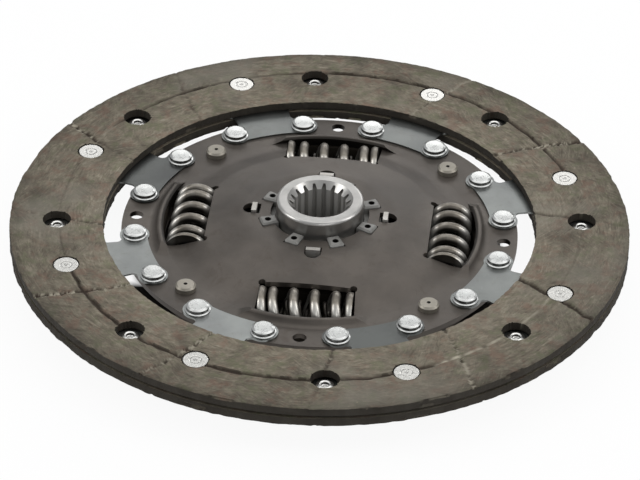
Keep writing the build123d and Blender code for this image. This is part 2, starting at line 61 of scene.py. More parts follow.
# Linings, in millimetres and degrees
DISC_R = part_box("lining_top")[1].x / MM
BORE_R = 79.5
FACE_W = DISC_R - BORE_R
LINING_T = (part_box("lining_top")[1].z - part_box("lining_top")[0].z) / MM
CELL = 0.6                      # spacing of the face's mesh points
RIVET_CIRCLE_R = 96.6
RIVET_COUNT = 8
TOP_SEAT_ANGLE = 19.0
TOP_ACCESS_ANGLE = 1.85
SEAT_R = 4.9
SEAT_DEPTH = 1.75
SHANK_HOLE_R = 2.6
ACCESS_R = 5.2
HOLE_REACH = CELL * 0.55        # points this near to a hole's edge are moved onto it
HOLE_GROOVE_DEPTH = 0.3         # deepest that a groove runs into a hole's edge
HOLE_EDGE_WEAR = 0.08           # how far a hole's edge is worn down
FACE_WEAR = 0.09
RIM_WEAR, RIM_NOTCH = 0.22, 1.1         # how far the rim is worn down, and how far a groove breaks into it
BORE_WEAR, BORE_NOTCH = 0.15, 0.6
WALL_ROWS = 4
# Painted shade: a groove's dark carries down the wall's next row at this share
WALL_GROOVE = 0.6               # how dark a wall's next row is below a groove
BACK_INSET = 0.3                # of the back's edges, from the rim and the bore
SHARP_ANGLE = 50.0

# Grooves of the worn linings
GROOVE_COUNT = 12
GROOVE_LEAD = 5.5               # degrees from a groove's outer end to its inner end
GROOVE_W = 1.3
GROOVE_MIN_W = 0.12
GROOVE_DEPTH = 0.8
GROOVE_SLOPE = 0.4              # width of a groove's sloping side
RING_CLOSED_W, RING_OPEN_W = 0.2, 0.9   # width where the ring groove is closed, and what opening adds
DUST_W, DUST_EDGE = 0.25, 0.45          # half width of the ring groove's dust, and its soft edge

# Each slanted groove: how far it strays in degrees, how open its outer and inner halves are, how dusty
SLANTED_GROOVES = (
    (0.0, 0.15, 0.40, 0.0), (-0.4, 0.85, 0.50, 0.35), (-0.6, 0.35, 0.35, 0.8), (0.0, 0.15, 0.15, 0.0),
    (0.0, 0.20, 0.25, 0.0), (-2.6, 0.85, 0.30, 0.2), (-1.5, 0.20, 0.35, 0.1), (-3.0, 0.90, 0.50, 0.4),
    (-2.6, 0.50, 0.45, 0.5), (-1.5, 0.20, 0.40, 0.1), (-1.2, 0.50, 0.40, 0.5), (-0.8, 0.90, 0.85, 0.0),
)

# The worn ring groove: angle, radius, how open it is and how dusty
RING_GROOVE = np.array((
    (0, 97.0, 0.25, 0.1), (5, 97.0, 0.3, 0.3), (16, 97.0, 0.35, 0.35), (22, 97.8, 0.6, 0.0),
    (30, 98.2, 0.65, 0.0), (38, 98.9, 0.9, 0.0), (46, 99.5, 0.95, 0.0), (58, 100.1, 1.0, 0.0),
    (68, 100.4, 1.0, 0.0), (86, 100.6, 1.0, 0.0), (93, 100.2, 0.5, 0.0), (106, 99.8, 0.3, 0.0),
    (122, 99.6, 0.6, 0.0), (140, 99.0, 0.5, 0.0), (146, 98.6, 0.3, 0.5), (151, 98.0, 0.3, 0.2),
    (168, 96.2, 0.3, 0.1), (180, 95.6, 0.15, 0.0), (194, 95.4, 0.35, 0.1), (204, 95.8, 0.7, 0.0),
    (214, 96.6, 0.9, 0.0), (232, 98.0, 0.95, 0.0), (248, 97.8, 1.0, 0.0), (268, 97.2, 1.0, 0.0),
    (286, 96.6, 1.0, 0.0), (294, 96.2, 0.8, 0.1), (298, 96.1, 0.3, 0.9), (313, 95.7, 0.25, 0.8),
    (322, 95.0, 0.15, 0.7), (330, 94.9, 0.1, 0.6), (336, 95.0, 0.15, 0.0), (352, 95.6, 0.15, 0.0),
))

# Spring windows
WINDOW_COUNT = 4
WINDOW_ANGLE = -5.25            # direction of the first window
SPRING_CIRCLE_R = 47.4
LIP_INNER_R = 55.0
FLANGE_WINDOW_HALF = (10.2, 17.0)       # half width along the radius and half length, of the wider windows
FLANGE_HEIGHTS = (6.0, 14.0)            # from below the flange to above it

# Hub
BORE_SPLINE_R = 11.6
BORE_LEAD_Z = 25.4

# Small blind holes
PIN_CIRCLE_R = 62.1
PIN_ANGLE = 39.75
PIN_DIMPLE_R = 0.72
LUG_COUNT = 8
LUG_HOLE_CIRCLE_R = 19.85
LUG_ANGLE = 17.35
LUG_HOLE_R = 1.17

# Cushion segments and their rivets
SEGMENT_RIVET_CIRCLE_R = 68.15
SEGMENT_RIVET_ANGLES = (6.0, 28.7)      # of the first segment's two rivets
# Painted reflections: each cushion segment's colour is scaled lighter or darker, as its slightly bent face
# would catch the light
SEGMENT_PAINTED_REFLECTIONS = (0.85, 0.66, 0.58, 0.38, 1.0, 1.12, 0.41, 0.80)    # how light each one is
WASHER_SHADE = 0.8

# Rings that the setting tools leave: share of the 5 mm about a rivet's centre, and height
RIVET_RELIEF_R = 5.0
HEAD_RINGS = ((0.0, 0.35), (0.10, 0.35), (0.14, 1.0), (0.34, 1.0), (0.40, 0.55), (0.47, 1.0), (0.86, 1.0),
              (0.97, 0.2))
TIP_RINGS = ((0.0, 0.4), (0.22, 0.4), (0.30, 1.0), (0.62, 1.0), (0.70, 0.6))
DOME_RINGS = ((0.0, 1.0), (0.70, 1.0), (0.84, 0.8))

# Floor, world and lamps, in metres and watts: each lamp's name, place, size and power
FLOOR_HALF = 6.0
FLOOR_GREY = (0.82, 0.82, 0.82)
# Colour of the painted shadow on the floor
FLOOR_SHADE = (0.05, 0.045, 0.04)
WORLD_LIGHT = (0.46, 0.47, 0.48)
LAMP_TARGET = (0, 0, 0.015)
LAMPS = (
    ("overhead", (0.15, 0.35, 1.3), (2.0, 1.3), 8.5),
    ("left_box", (-1.1, -0.1, 0.80), (0.45, 0.8), 5.0),
    ("right_box", (1.1, -0.1, 0.80), (0.45, 0.8), 4.5),
    ("back_box", (0.3, 1.5, 0.7), (1.4, 0.4), 5.0),
    ("front_fill", (0.4, -1.4, 0.9), (0.9, 0.5), 3.0),
)

# Camera, as measured from the photograph
CAMERA_DISTANCE = 1.4318
CAMERA_ELEVATION = 34.8
CAMERA_ROLL = 1.315
CAMERA_LENS = 218.9
SENSOR_WIDTH = 36.0
PHOTO_WIDTH = 640
AIM_OFFSET_PX = (-0.23, -20.19)
AIM_HEIGHT = 0.0186


def new_object(name, data):
    """An object in the scene's own collection."""
    made = bpy.data.objects.new(name, data)
    bpy.context.scene.collection.objects.link(made)
    return made


def scaled(colour, share):
    return tuple(share * c for c in colour)


# Node graphs

class Graph:
    """One material's node tree with short ways to add nodes."""

    def __init__(self, name):
        self.material = bpy.data.materials.new(name)
        self.material.use_nodes = True
        self.tree = self.material.node_tree
        self.shader = self.tree.nodes["Principled BSDF"]
        self.coordinates = self.node("TexCoord")
        self.where = self.coordinates.outputs["Object"]

    def node(self, kind, **settings):
        made = self.tree.nodes.new("ShaderNode" + kind)
        for key, value in settings.items():
            setattr(made, key, value)
        return made

    def feed(self, socket, value):
        """Links a socket, or sets a plain value."""
        if isinstance(value, bpy.types.NodeSocket):
            self.tree.links.new(value, socket)
        elif socket.type == "RGBA" and len(value) == 3:
            socket.default_value = (*value, 1.0)
        else:
            socket.default_value = value

    def feed_all(self, made, values):
        for socket, value in zip(made.inputs, values):
            self.feed(socket, value)
        return made

    def math(self, operation, *values):
        return self.feed_all(self.node("Math", operation=operation), values).outputs[0]

    def plus(self, first, second):
        return self.math("ADD", first, second)

    def minus(self, first, second):
        return self.math("SUBTRACT", first, second)

    def times(self, first, second):
        return self.math("MULTIPLY", first, second)

    def combine(self, x, y, z):
        return self.feed_all(self.node("CombineXYZ"), (x, y, z)).outputs[0]

    def separate(self, vector):
        return self.feed_all(self.node("SeparateXYZ"), (vector,)).outputs

    def place(self):
        """Object coordinates in millimetres, as three numbers."""
        return [self.times(share, 1 / MM) for share in self.separate(self.where)]

    def normal(self):
        return self.separate(self.coordinates.outputs["Normal"])

    def facing_up(self):
        """One on level faces and zero on upright walls."""
        return self.math("ABSOLUTE", self.normal()[2])

    def length(self, x, y):
        return self.math("SQRT", self.plus(self.times(x, x), self.times(y, y)))

    def polar(self):
        """Radius in millimetres, angle in radians and height in millimetres."""
        x, y, z = self.place()
        return self.length(x, y), self.math("ARCTAN2", y, x), z

    def from_nearest(self, angle, count, start):
        """Angle from the nearest of evenly spaced directions, the first of them given in degrees."""
        pitch = math.tau / count
        offset = self.minus(angle, math.radians(start) - pitch / 2)
        return self.minus(self.math("FLOORED_MODULO", offset, pitch), pitch / 2)

    def away_from(self, circle_r, count, start):
        """Distance in millimetres from the nearest of a ring of centres about the axis."""
        radius, angle, _ = self.polar()
        local = self.from_nearest(angle, count, start)
        along = self.minus(self.times(radius, self.math("COSINE", local)), circle_r)
        return self.length(along, self.times(radius, self.math("SINE", local)))

    def spiral(self, radius, angle, lead, across, along):
        """Vector for threads that run at a slant round the axis: fast across them and slow along them."""
        turn = self.plus(angle, self.times(radius, lead))
        reach = RIVET_CIRCLE_R * across
        return self.combine(
            self.times(self.math("COSINE", turn), reach),
            self.times(self.math("SINE", turn), reach),
            self.times(radius, along),
        )

    def noise(self, vector, scale=1.0, detail=3.0, roughness=0.55, distortion=0.0):
        made = self.node("TexNoise")
        self.feed(made.inputs["Vector"], vector)
        for key, value in (("Scale", scale), ("Detail", detail), ("Roughness", roughness),
                           ("Distortion", distortion)):
            made.inputs[key].default_value = value
        return made.outputs["Fac"]

    def ramp(self, factor, *stops):
        """Colour or grey from a factor, through (position, value) stops."""
        made = self.node("ValToRGB")
        self.feed(made.inputs[0], factor)
        points = made.color_ramp.elements
        while len(points) < len(stops):
            points.new(0.5)
        for point, (position, value) in zip(points, stops):
            point.position = position
            colour = value if isinstance(value, tuple) else (value,) * 3
            point.color = (*colour, 1.0)
        return made.outputs[0]

    def mix(self, factor, first, second, blend="MIX"):
        made = self.node("Mix", data_type="RGBA", blend_type=blend)
        for socket, value in zip((made.inputs[0], made.inputs[6], made.inputs[7]), (factor, first, second)):
            self.feed(socket, value)
        return made.outputs[2]

    def shaded(self, colour, share):
        return self.mix(1.0, colour, share, "MULTIPLY")

    def over(self, colour, other, mask, amount):
        """The colour with a share of another over it where the mask is."""
        return self.mix(self.times(mask, amount), colour, other)

    def painted_hole_shade(self, colour, away, hole_r):
        """The colour painted near black within a radius, as the shade in a hole."""
        return self.mix(self.math("LESS_THAN", away, hole_r), colour, (0.006, 0.005, 0.004))

    def bump(self, height, distance_mm, strength):
        """Adds a relief to the shader's normal, on top of any that it has already."""
        made = self.node("Bump")
        made.inputs["Strength"].default_value = strength
        made.inputs["Distance"].default_value = distance_mm * MM
        self.feed(made.inputs["Height"], height)
        target = self.shader.inputs["Normal"]
        if target.links:
            self.feed(made.inputs["Normal"], target.links[0].from_socket)
        self.feed(target, made.outputs[0])

    def finish(self, **values):
        for key, value in values.items():
            self.feed(self.shader.inputs[key.replace("_", " ").title().replace("Ior", "IOR")], value)
        return self.material


# Materials

def lining_material():
    """Wound fibre with brass: short frayed yarns in patches, walls painted dark as shade, grooves painted
    dark as shade or pale with dust.
    """
    g = Graph("lining_fibre")
    radius, angle, _ = g.polar()
    lead = 1 / RIVET_CIRCLE_R
    left = g.noise(g.spiral(radius, angle, lead * 0.9, 0.60, 0.24), distortion=1.4)
    right = g.noise(g.spiral(radius, angle, -lead * 1.3, 0.64, 0.26), distortion=1.4)
    round_way = g.noise(g.spiral(radius, angle, 0.0, 0.20, 0.95), detail=5.0, roughness=0.6, distortion=1.1)
    lay = g.noise(g.where, scale=38.0, detail=2.0)
    patches = g.noise(g.where, scale=60.0, detail=4.0, roughness=0.6)
    tint = g.noise(g.where, scale=190.0, roughness=0.6)
    blots = g.noise(g.where, scale=300.0)
    grain = g.noise(g.where, scale=1100.0, detail=4.0, roughness=0.75)

    slanted = g.mix(g.ramp(lay, (0.46, 0.0), (0.54, 1.0)), left, right)
    yarn = g.mix(g.ramp(patches, (0.42, 0.35), (0.60, 0.9)), slanted, round_way)
    colour = g.ramp(yarn, (0.30, (0.092, 0.077, 0.056)), (0.44, (0.145, 0.124, 0.093)),
                    (0.56, (0.180, 0.156, 0.117)), (0.70, (0.280, 0.245, 0.185)))
    colour = g.shaded(colour, g.ramp(blots, (0.34, 0.80), (0.50, 1.0)))
    colour = g.mix(g.ramp(blots, (0.56, 0.0), (0.70, 0.4)), colour, (0.270, 0.245, 0.185))
    reddish = g.ramp(tint, (0.53, 0.0), (0.66, 1.0))
    colour = g.over(colour, (0.165, 0.098, 0.072), reddish, 0.50)
    olive = g.ramp(tint, (0.34, 1.0), (0.46, 0.0))
    colour = g.over(colour, (0.125, 0.130, 0.076), olive, 0.55)
    colour = g.shaded(colour, g.ramp(patches, (0.34, 0.70), (0.50, 1.0)))
    pale = g.ramp(g.noise(g.where, scale=26.0), (0.54, 0.0), (0.70, 0.55))
    colour = g.mix(pale, colour, (0.205, 0.188, 0.155))
    outwards = g.math("DIVIDE", radius, DISC_R)
    colour = g.shaded(colour, g.ramp(outwards, (0.72, 1.0), (0.84, 0.86), (0.96, 0.78), (0.995, 0.60)))
    flecks = g.times(g.ramp(grain, (0.60, 0.0), (0.68, 1.0)), g.ramp(yarn, (0.46, 0.0), (0.58, 1.0)))
    colour = g.over(colour, (0.40, 0.34, 0.22), flecks, 0.3)
    pits = g.ramp(grain, (0.32, 1.0), (0.40, 0.0))
    colour = g.over(colour, (0.045, 0.038, 0.030), pits, 0.3)

    # Painted shade: the upright walls of the rim, the bore and the holes are near black, with a layered
    # grain
    wall = g.ramp(g.facing_up(), (0.35, 1.0), (0.80, 0.0))
    layers = g.noise(g.spiral(radius, angle, 0.0, 0.15, 0.0))
    colour = g.mix(wall, colour, g.mix(layers, (0.018, 0.014, 0.011), (0.046, 0.041, 0.032)))
    # Painted shade in the grooves
    groove = g.node("Attribute", attribute_name="groove").outputs["Fac"]
    colour = g.over(colour, (0.024, 0.016, 0.011), groove, 0.92)
    dust = g.node("Attribute", attribute_name="dust").outputs["Fac"]
    colour = g.mix(dust, colour, (0.36, 0.33, 0.26))
    g.bump(yarn, 0.32, 0.8)
    g.bump(grain, 0.12, 0.6)
    return g.finish(base_color=colour, roughness=g.ramp(yarn, (0.4, 0.88), (0.8, 0.62)), metallic=0.0,
                    specular_ior_level=0.22)


def sheet_steel(name, dark, light, roughness, stain, stain_amount, scratch=0.3):
    """Rolled or pressed steel with soft stains and fine scratches: its graph, colour and roughness."""
    g = Graph(name)
    broad = g.noise(g.where, scale=40.0, detail=4.0)
    fine = g.noise(g.where, scale=900.0, roughness=0.7)
    colour = g.mix(g.ramp(broad, (0.35, 0.0), (0.65, 1.0)), dark, light)
    marks = g.noise(g.where, scale=130.0, detail=6.0, roughness=0.75, distortion=1.2)
    colour = g.over(colour, stain, g.ramp(marks, (0.54, 0.0), (0.70, 1.0)), stain_amount)
    radius, angle, _ = g.polar()
    lines = g.noise(g.spiral(radius, angle, 0.02, 3.0, 0.25), detail=2.0, distortion=0.5)
    colour = g.over(colour, scaled(light, 1.7), g.ramp(lines, (0.68, 0.0), (0.74, 1.0)), scratch)
    rough = g.plus(roughness - 0.08, g.times(g.plus(broad, fine), 0.10))
    g.bump(fine, 0.03, 0.35)
    return g, colour, rough


def segment_material(number, shade):
    """Rolled spring steel with its colour scaled by a share; for the cushion segments the share is a painted
    reflection, each piece lighter or darker as its slightly bent face would catch the light.
    """
    g, colour, rough = sheet_steel(f"spring_steel_{number}", (0.205, 0.212, 0.208), (0.285, 0.297, 0.285),
                                   0.30, (0.16, 0.15, 0.135), 0.35)
    return g.finish(base_color=g.shaded(colour, (shade, shade, shade)), roughness=rough, metallic=1.0)


def plate_material():
    """Dark pressed steel, with painted shade: near black on the lips' faces that look at the springs."""
    g, colour, rough = sheet_steel("dark_plate_steel", (0.062, 0.054, 0.047), (0.104, 0.091, 0.079), 0.44,
                                   (0.060, 0.046, 0.036), 0.5, 0.22)
    radius, angle, _ = g.polar()
    normal = g.normal()
    outwards = g.plus(g.times(normal[0], g.math("COSINE", angle)), g.times(normal[1], g.math("SINE", angle)))
    # Painted shade on the lips' inner faces
    inner_face = g.ramp(g.times(outwards, -1.0), (0.15, 0.0), (0.45, 1.0))
    lip_painted_shade = g.times(inner_face, g.math("GREATER_THAN", radius, LIP_INNER_R))
    colour = g.over(colour, (0.010, 0.008, 0.006), lip_painted_shade, 0.85)
    return g.finish(base_color=colour, roughness=rough, metallic=0.75)


def flange_material():
    """Steel painted near black with little specular reflection, as the shade deep in the damper."""
    g, colour, rough = sheet_steel("painted_shade_steel", (0.016, 0.013, 0.010), (0.028, 0.023, 0.017), 0.75,
                                   (0.012, 0.010, 0.008), 0.5, 0.1)
    return g.finish(base_color=colour, roughness=rough, metallic=0.0, specular_ior_level=0.12)


def pin_material():
    """Dull upset steel, with painted shade near black in the dimple of each pin's head."""
    g, colour, rough = sheet_steel("pin_steel", (0.225, 0.208, 0.176), (0.33, 0.306, 0.262), 0.45,
                                   (0.15, 0.13, 0.10), 0.5)
    away = g.away_from(PIN_CIRCLE_R, WINDOW_COUNT, PIN_ANGLE)
    # Painted shade in each pin's dimple
    return g.finish(base_color=g.painted_hole_shade(colour, away, PIN_DIMPLE_R), roughness=rough, metallic=0.8)


def tab_material():
    """Sheared sheet steel."""
    g, colour, rough = sheet_steel("bright_sheet", (0.34, 0.32, 0.29), (0.50, 0.48, 0.45), 0.32,
                                   (0.22, 0.18, 0.15), 0.4)
    return g.finish(base_color=colour, roughness=rough, metallic=0.6)


def bush_material():
    """Grey moulding, with painted shade near black in the hole of each lug."""
    g = Graph("bush_moulding")
    broad = g.noise(g.where, scale=150.0, detail=4.0)
    colour = g.mix(g.ramp(broad, (0.35, 0.0), (0.65, 1.0)), (0.130, 0.127, 0.118), (0.205, 0.20, 0.188))
    away = g.away_from(LUG_HOLE_CIRCLE_R, LUG_COUNT, LUG_ANGLE)
    g.bump(g.noise(g.where, scale=1600.0), 0.04, 0.5)
    # Painted shade in each lug's hole
    return g.finish(base_color=g.painted_hole_shade(colour, away, LUG_HOLE_R), roughness=0.48, metallic=0.15)


def coil_material(name, dark, middle, light):
    """Oil-tempered wire with a bronze cast; painted shade between the coils, on their ground ends and on
    their crest, and painted highlights beside it.
    """
    g = Graph(name)
    broad = g.noise(g.where, scale=220.0, detail=5.0, roughness=0.65)
    fine = g.noise(g.where, scale=1500.0)
    colour = g.ramp(broad, (0.32, dark), (0.52, middle), (0.70, light))
    radius, angle, _ = g.polar()
    local = g.from_nearest(angle, WINDOW_COUNT, WINDOW_ANGLE)
    window_angle = g.minus(angle, local)
    normal = g.normal()
    # Painted shade: faces that look along the spring, the coils' sides and ground ends, are darkened
    sideways = g.math("ABSOLUTE", g.minus(g.times(normal[1], g.math("COSINE", window_angle)),
                                          g.times(normal[0], g.math("SINE", window_angle))))
    shade = g.ramp(sideways, (0.60, 1.0), (0.88, 0.55), (0.99, 0.22))
    colour = g.shaded(colour, shade)
    # Painted shade on the crest, near the spring's own axis, and painted highlights on the coils' tips
    # beside it
    beside = g.math("ABSOLUTE", g.minus(g.times(radius, g.math("COSINE", local)), SPRING_CIRCLE_R))
    beside = g.times(beside, 0.1)
    colour = g.shaded(colour, g.ramp(beside, (0.0, 0.60), (0.34, 0.70), (0.52, 1.0)))
    painted_tip_highlight = g.ramp(beside, (0.36, 0.0), (0.56, 0.85))
    colour = g.mix(g.shaded(painted_tip_highlight, shade), colour, (0.62, 0.60, 0.56))
    g.bump(fine, 0.03, 0.4)
    return g.finish(base_color=colour, roughness=g.ramp(fine, (0.3, 0.30), (0.7, 0.42)), metallic=0.78)


def hub_material():
    """Machined steel with turning marks on its faces, and duller splines."""
    g = Graph("hub_steel")
    radius, _, height = g.polar()
    turning = g.noise(g.combine(g.times(radius, 5.0), g.times(height, 3.0), 0.0))
    broad = g.noise(g.where, scale=140.0, detail=4.0)
    colour = g.ramp(broad, (0.30, (0.36, 0.352, 0.337)), (0.60, (0.44, 0.430, 0.412)),
                    (0.80, (0.50, 0.49, 0.47)))
    bore = g.times(g.math("LESS_THAN", radius, BORE_SPLINE_R), g.math("LESS_THAN", height, BORE_LEAD_Z))
    colour = g.mix(bore, colour, (0.40, 0.39, 0.37))
    g.bump(turning, 0.01, 0.2)
    return g.finish(base_color=colour, roughness=g.ramp(turning, (0.3, 0.29), (0.7, 0.35)),
                    metallic=g.minus(0.95, g.times(bore, 0.55)))


def rivet_material(name, circle_r, count, angles, rings, colour):
    """Bright formed steel with the setting tool's rings about each rivet's own centre, and painted shade on
    its sides and in the low rings round the head.
    """
    g = Graph(name)
    nearest = g.away_from(circle_r, count, angles[0])
    for start in angles[1:]:
        nearest = g.math("MINIMUM", nearest, g.away_from(circle_r, count, start))
    relief = g.ramp(g.times(nearest, 1 / RIVET_RELIEF_R), *rings)
    wear = g.noise(g.where, scale=900.0, detail=4.0, roughness=0.7)
    shade = g.mix(g.ramp(wear, (0.30, 0.18), (0.50, 0.0)), colour, scaled(colour, 0.75))
    # Painted shade on the faces that do not look up
    shade = g.mix(g.ramp(g.facing_up(), (0.30, 0.8), (0.60, 0.0)), shade, scaled(colour, 0.12))
    # Painted shade where the relief is low, in the rings' hollows and round each head
    shade = g.over(shade, scaled(colour, 0.35), g.minus(1.0, relief), 0.55)
    g.bump(relief, 0.35, 0.8)
    g.bump(wear, 0.01, 0.2)
    return g.finish(base_color=shade, roughness=g.ramp(wear, (0.3, 0.24), (0.7, 0.34)), metallic=1.0)


# Worn linings

def clip(value, high=1.0):
    return min(high, max(0.0, value))


def wander(angle, seed, size, waves):
    """A smooth closed line's offset at an angle round the axis."""
    return size * noise.noise(Vector((math.cos(angle) * waves, math.sin(angle) * waves, seed)))


def groove_share(away, width, opened):
    """How deep a groove is at a distance from its line: flat floor, sloping sides, shallow if closed."""
    return max(0.0, 1.0 - max(0.0, away - width / 2) / GROOVE_SLOPE) * clip(1.5 * opened)


def slanted_groove(radius, angle, seed):
    """How deep and how dusty the nearest slanted groove is at a place on the worn face."""
    lead = math.radians(GROOVE_LEAD) * (DISC_R - radius) / FACE_W
    pitch = math.tau / GROOVE_COUNT
    number = round((angle - lead) / pitch)
    stray, outer, inner, dusty = SLANTED_GROOVES[number % GROOVE_COUNT]
    line = number * pitch + lead + math.radians(stray)
    line += 0.008 * noise.noise(Vector((radius * 0.16, number * 3.1, seed)))
    line += 0.005 * noise.noise(Vector((radius * 0.7, number * 5.3, seed)))
    place = Vector((radius * 0.22, number * 7.7, seed + 4.0))
    outer_share = clip((radius - BORE_R) / FACE_W * 4.0 - 1.5)
    opened = (inner + (outer - inner) * outer_share) * (1.0 + 0.7 * noise.noise(place))
    width = GROOVE_W * (0.35 + 0.75 * opened + 0.3 * noise.noise(place * 4.0))
    across = abs(angle - line) * radius
    depth = groove_share(across, max(GROOVE_MIN_W, width), opened)
    if not dusty:
        return depth, 0.0
    flecks = noise.noise(Vector((radius * 0.6, across * 1.5, number * 2.3 + seed))) - 0.4 + dusty
    return depth, depth * clip(flecks * 4.0, 0.7)


def ring_groove(radius, angle, seed):
    """How deep and how dusty the ring groove is at a place on the worn face."""
    turn = math.degrees(angle)
    ring_r, opened, dusty = (
        float(np.interp(turn, RING_GROOVE[:, 0], RING_GROOVE[:, k], period=360)) for k in (1, 2, 3)
    )
    ring_r += wander(angle, seed + 9.0, 0.5, 9.0) + wander(angle, seed + 2.0, 0.3, 30.0)
    opened *= 1.0 + wander(angle, seed + 20.0, 0.5, 14.0)
    away = abs(radius - ring_r)
    pale = max(0.0, 1.0 - max(0.0, away - DUST_W) / DUST_EDGE)
    dust = pale * dusty * (0.55 + wander(angle, seed + 31.0, 0.9, 40.0))
    return groove_share(away, RING_CLOSED_W + RING_OPEN_W * opened, opened), dust


def relief_at(radius, angle, seed):
    """Height of the worn face at a place, and how deep and how dusty its grooves are there."""
    slanted, slanted_dust = slanted_groove(radius, angle, seed)
    ring, ring_dust = ring_groove(radius, angle, seed)
    dust = clip(max(slanted_dust, ring_dust))
    groove = max(slanted, ring) * (1.0 - dust)
    place = Vector((math.cos(angle) * radius, math.sin(angle) * radius, seed))
    waves = 0.05 * noise.noise(place * 0.9) + 0.04 * noise.noise(place * 0.25)
    return waves - FACE_WEAR - GROOVE_DEPTH * groove, groove, dust


def edge_fray(angle, level, seed):
    """How far the wall is broken back from its full radius, in millimetres."""
    fine = Vector((math.cos(angle) * 40.0, math.sin(angle) * 40.0, level * 1.3 + seed))
    coarse = Vector((math.cos(angle) * 9.0, math.sin(angle) * 9.0, level * 0.6 + seed + 5.0))
    chips = max(0.0, noise.noise(coarse) - 0.28) * 2.4
    return max(0.0, 0.28 * (0.5 + noise.noise(fine))) + chips


class WornLining:
    """A worn lining as one mesh: face, walls, rivet seats and access holes.

    It is made in millimetres, with its face up and at height zero or just below.
    """

    def __init__(self, seat_angle, access_angle, seed):
        self.seed = seed
        self.ring_count = round(FACE_W / CELL)
        self.turn_count = round(math.tau * RIVET_CIRCLE_R / CELL)
        self.holes = []             # each with its centre, its radius and whether a rivet sits in it
        for k in range(RIVET_COUNT):
            for start, hole_r, is_seat in ((seat_angle, SEAT_R, True), (access_angle, ACCESS_R, False)):
                turn = math.radians(start + 360 * k / RIVET_COUNT)
                centre = (RIVET_CIRCLE_R * math.cos(turn), RIVET_CIRCLE_R * math.sin(turn))
                self.holes.append((centre, hole_r, is_seat))
        self.faces, self.grooves, self.dusts = [], [], []
        self.points = self.worn_face()
        owners = self.open_holes()
        self.vertices = [tuple(p) for p in self.points]
        self.fill_face(owners)
        self.close_back(self.build_walls())

    def worn_face(self):
        """The face's points, from the bore to the rim at each angle in turn."""
        points = []
        for step in range(self.turn_count):
            angle = math.tau * step / self.turn_count
            for ring in range(self.ring_count + 1):
                radius = BORE_R + FACE_W * ring / self.ring_count
                height, groove, dust = relief_at(radius, angle, self.seed)
                if ring == self.ring_count:
                    radius -= edge_fray(angle, 0.0, self.seed) + RIM_NOTCH * groove
                    height -= RIM_WEAR
                if ring == 0:
                    radius += edge_fray(angle, 3.0, self.seed) + BORE_NOTCH * groove
                    height -= BORE_WEAR
                points.append((radius * math.cos(angle), radius * math.sin(angle), min(0.0, height)))
                self.grooves.append(groove)
                self.dusts.append(dust)
        return np.array(points)

    def open_holes(self):
        """Moves the points beside a hole onto its edge; returns the hole that each point is at, or -1."""
        owners = np.full(len(self.points), -1)
        for number, (centre, hole_r, _) in enumerate(self.holes):
            offset = self.points[:, :2] - centre
            away = np.hypot(offset[:, 0], offset[:, 1])
            near = np.abs(away - hole_r) < HOLE_REACH
            self.points[near, :2] = np.array(centre) + offset[near] / away[near, None] * hole_r
            self.points[near, 2] = np.maximum(self.points[near, 2], -HOLE_GROOVE_DEPTH) - HOLE_EDGE_WEAR
            owners[near | (away < hole_r)] = number
        return owners

    def fill_face(self, owners):
        """Quads between each angle's points and the next one's, apart from those over a hole."""
        ring_points = self.ring_count + 1
        for step in range(self.turn_count):
            here, beyond = step * ring_points, (step + 1) % self.turn_count * ring_points
            for j in range(self.ring_count):
                quad = (here + j, here + j + 1, beyond + j + 1, beyond + j)
                if not self.over_hole(quad, owners):
                    self.faces.append(quad)

    def over_hole(self, face, owners):
        middle = self.points[list(face), :2].mean(axis=0)
        for corner in face:
            if owners[corner] >= 0:
                centre, hole_r, _ = self.holes[owners[corner]]
                if math.hypot(middle[0] - centre[0], middle[1] - centre[1]) < hole_r:
                    return True
        return False

    def border_loops(self):
        """The face's open edges, sorted into the rim's, the bore's and each hole's."""
        directed = set()
        for face in self.faces:
            for start, end in zip(face, face[1:] + face[:1]):
                directed.add((start, end))
        loops = {}
        for start, end in directed:
            if (end, start) not in directed:
                loops.setdefault(self.loop_of((start, end)), []).append((start, end))
        return loops

    def loop_of(self, edge):
        """What an open edge belongs to: the rim, the bore or a hole's number."""
        columns = [corner % (self.ring_count + 1) for corner in edge]
        if all(column in (0, self.ring_count) for column in columns):
            return "bore" if columns[0] == 0 else "rim"
        middle = self.points[list(edge), :2].mean(axis=0)
        gaps = [abs(math.hypot(middle[0] - c[0], middle[1] - c[1]) - r) for c, r, _ in self.holes]
        return int(np.argmin(gaps))

    def build_walls(self):
        """Walls down from every open edge; returns the edges of their feet."""
        feet = []
        for key, edges in self.border_loops().items():
            if key == "rim":
                feet += self.frayed_wall(edges, DISC_R, -1)
            elif key == "bore":
                feet += self.frayed_wall(edges, BORE_R, 1)
            else:
                feet += self.hole_wall(edges, *self.holes[key])
        return feet

    def add_row(self, edges, moved):
        """One row of wall from a border to moved copies of its points; returns the new border."""
        copies = {}
        for corner in {c for edge in edges for c in edge}:
            copies[corner] = len(self.vertices)
            self.vertices.append(moved(self.vertices[corner]))
            self.grooves.append(self.grooves[corner] * WALL_GROOVE)
            self.dusts.append(0.0)
        for start, end in edges:
            self.faces.append((end, start, copies[start], copies[end]))
        return [(copies[start], copies[end]) for start, end in edges]

    def frayed_wall(self, edges, full_r, inwards):
        """The rim's wall or the bore's; the sign says which way leads into the lining."""
        for row in range(1, WALL_ROWS + 1):
            level = -LINING_T * row / WALL_ROWS

            def moved(point):
                angle = math.atan2(point[1], point[0])
                broken = BACK_INSET if row == WALL_ROWS else edge_fray(angle, level, self.seed)
                radius = full_r + inwards * broken
                return (radius * math.cos(angle), radius * math.sin(angle), level)

            edges = self.add_row(edges, moved)
        return edges

